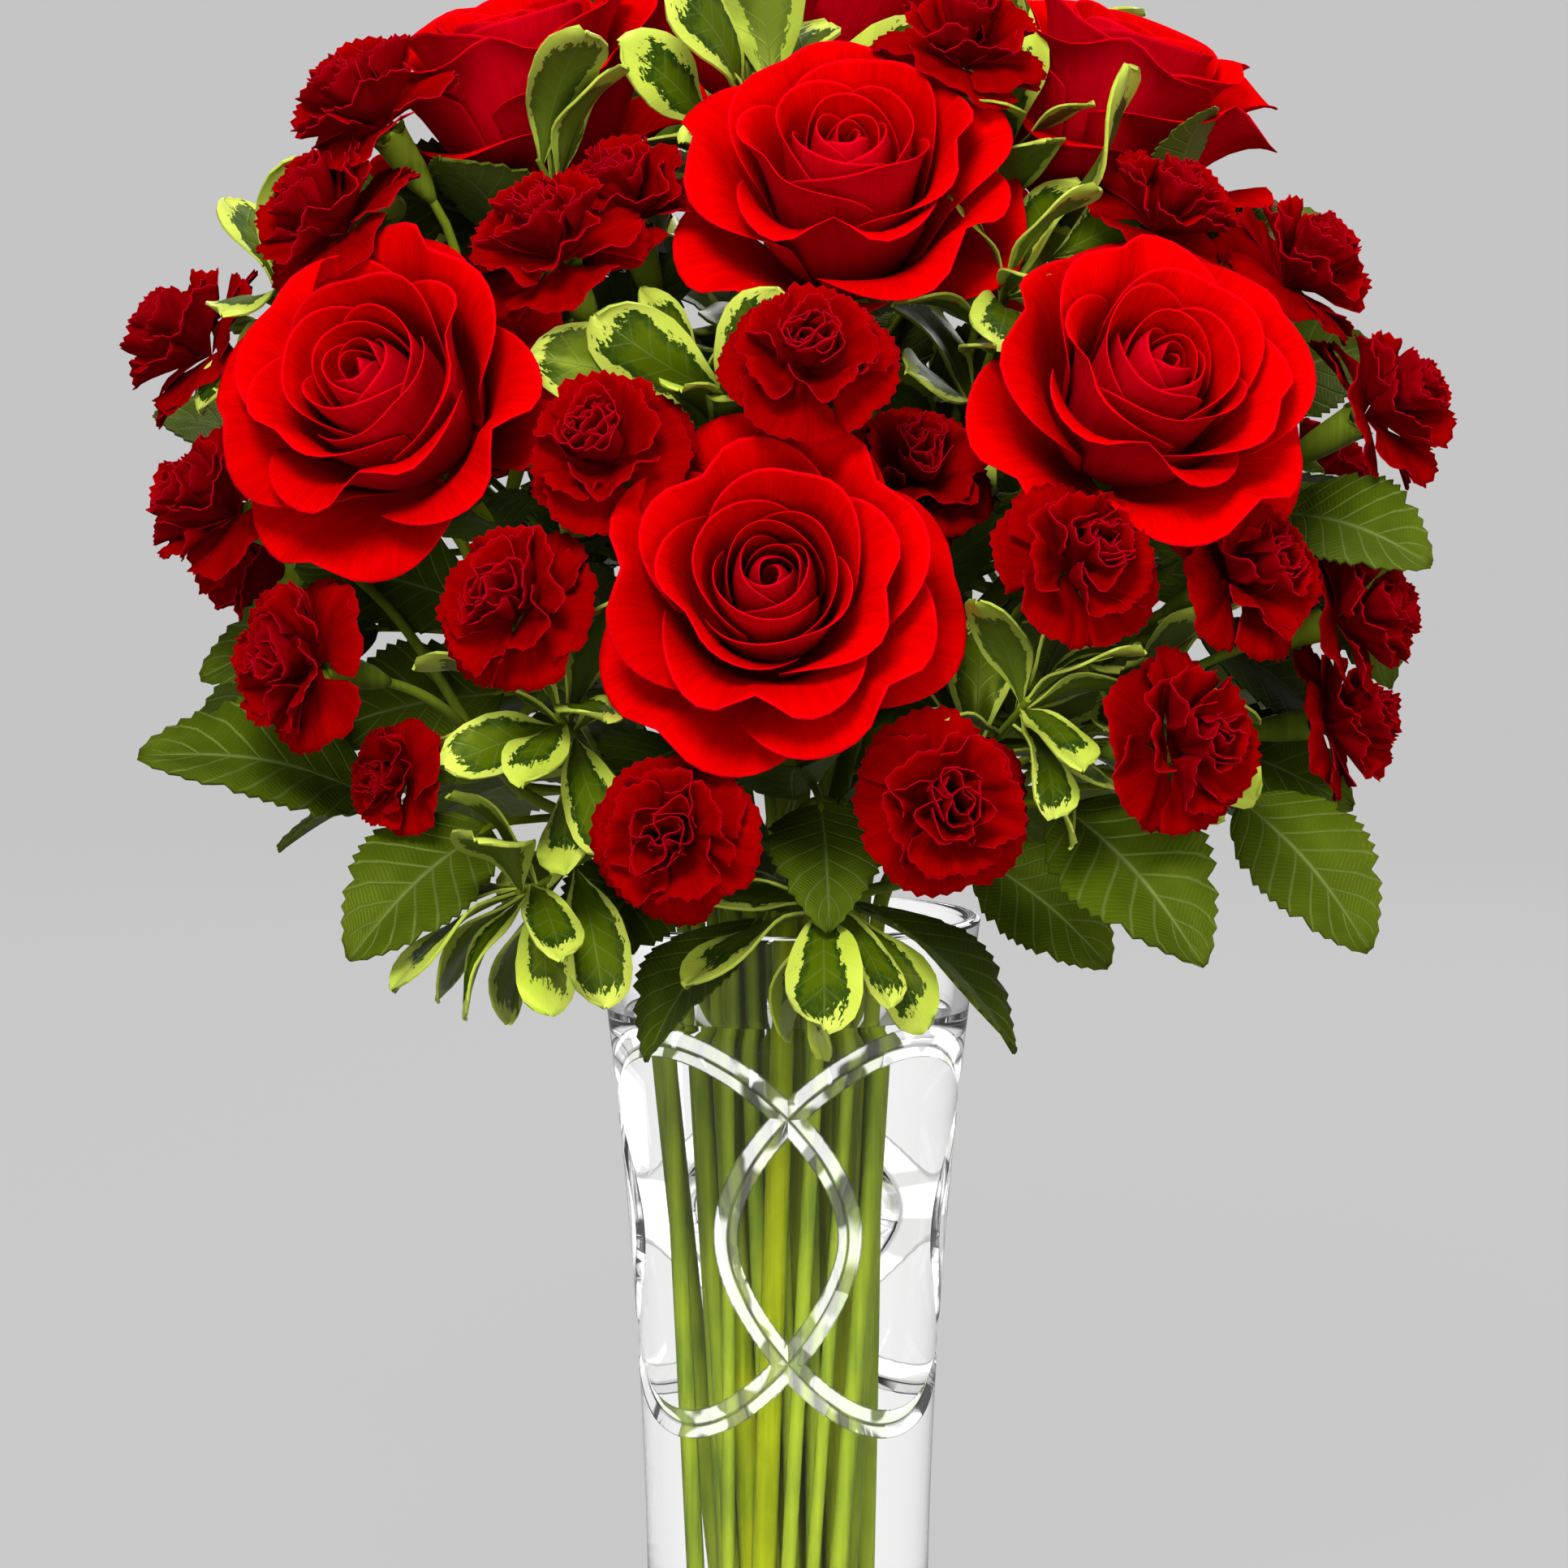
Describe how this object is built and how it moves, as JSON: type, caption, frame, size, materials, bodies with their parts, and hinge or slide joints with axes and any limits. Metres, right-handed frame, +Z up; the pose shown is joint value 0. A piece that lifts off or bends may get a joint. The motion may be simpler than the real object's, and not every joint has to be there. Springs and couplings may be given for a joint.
{
  "type": "roses in a vase",
  "caption": "Mixed bouquet of red roses, small dark red carnations and variegated pittosporum, standing in water in a clear cut-glass vase.",
  "frame": {"origin": "centre of the vase's underside, on the surface it stands on", "axes": "+Z up, front of the bouquet towards -Y, +X to the right seen from the front"},
  "size_m": [0.35, 0.3124, 0.4627],
  "materials": {
    "glass": "gloss",
    "water": "gloss",
    "rose_petal": "satin",
    "carnation_petal": "matte",
    "rose_green": "satin",
    "carnation_green": "matte",
    "variegated_leaf": "satin"
  },
  "bodies": {
    "root": {"vase": "glass", "water": "water", "rose_1": "rose_petal", "rose_2": "rose_petal", "rose_3": "rose_petal", "rose_4": "rose_petal", "rose_5": "rose_petal", "rose_6": "rose_petal", "rose_7": "rose_petal", "rose_8": "rose_petal", "rose_9": "rose_petal", "carnation_1": "carnation_petal", "carnation_2": "carnation_petal", "carnation_3": "carnation_petal", "carnation_4": "carnation_petal", "carnation_5": "carnation_petal", "carnation_6": "carnation_petal", "carnation_7": "carnation_petal", "carnation_8": "carnation_petal", "carnation_9": "carnation_petal", "carnation_10": "carnation_petal", "carnation_11": "carnation_petal", "carnation_12": "carnation_petal", "carnation_13": "carnation_petal", "carnation_14": "carnation_petal", "carnation_15": "carnation_petal", "carnation_16": "carnation_petal", "carnation_17": "carnation_petal", "carnation_18": "carnation_petal", "carnation_19": "carnation_petal", "carnation_20": "carnation_petal", "carnation_21": "carnation_petal", "carnation_22": "carnation_petal", "carnation_23": "carnation_petal", "carnation_24": "carnation_petal", "rose_stem_1": "rose_green", "rose_stem_2": "rose_green", "rose_stem_3": "rose_green", "rose_stem_4": "rose_green", "rose_stem_5": "rose_green", "rose_stem_6": "rose_green", "rose_stem_7": "rose_green", "rose_stem_8": "rose_green", "rose_stem_9": "rose_green", "carnation_stem_1": "carnation_green", "carnation_stem_2": "carnation_green", "carnation_stem_3": "carnation_green", "carnation_stem_4": "carnation_green", "carnation_stem_5": "carnation_green", "carnation_stem_6": "carnation_green", "carnation_stem_7": "carnation_green", "carnation_stem_8": "carnation_green", "carnation_stem_9": "carnation_green", "pittosporum_1": "variegated_leaf", "pittosporum_2": "variegated_leaf", "pittosporum_3": "variegated_leaf", "pittosporum_4": "variegated_leaf", "pittosporum_5": "variegated_leaf", "pittosporum_6": "variegated_leaf", "pittosporum_7": "variegated_leaf"}
  },
  "joints": []
}
